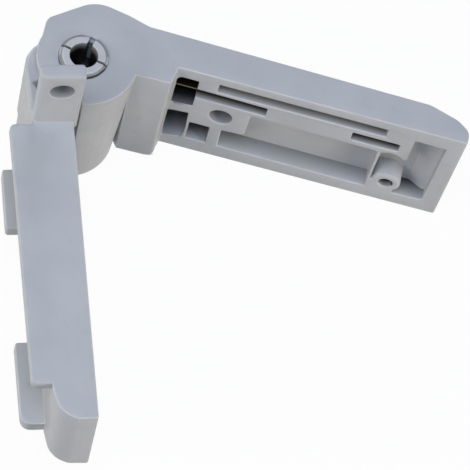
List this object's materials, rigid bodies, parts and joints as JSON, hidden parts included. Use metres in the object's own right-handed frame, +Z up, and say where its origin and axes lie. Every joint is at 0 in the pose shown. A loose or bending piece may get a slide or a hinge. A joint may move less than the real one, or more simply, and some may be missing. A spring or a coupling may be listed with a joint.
{
  "type": "fridge door hinge",
  "caption": "Moulded pivot hinge for a fridge door: a cored arm and a flanged arm that turn on a hollow snap pin, with a screw hole, a screw boss and an upright tab.",
  "frame": {"origin": "on the hinge axis, in the plane of leaf A's underside, which is also the lower mouth of the pin's bore", "axes": "+Z up the hinge axis towards the pin's snap head, +X along leaf A's arm from the hub to its tip, +Y towards leaf A's outer side; leaf B stands 72.35 degrees clockwise of +X"},
  "size_m": [0.1148, 0.1155, 0.0586],
  "materials": {
    "light_grey_plastic": "fine satin moulded surface",
    "spring_steel": "bare strip"
  },
  "bodies": {
    "leaf_a": {"leaf_a": "light_grey_plastic", "detent_spring": "spring_steel"},
    "leaf_b": {"leaf_b": "light_grey_plastic", "pivot_pin": "light_grey_plastic"}
  },
  "joints": [
    {"name": "leaf_hinge", "type": "hinge", "parent": "leaf_a", "child": "leaf_b", "pos_m": [0, 0, 0], "axis": [0, 0, 1], "range_deg": [0, 55]}
  ]
}
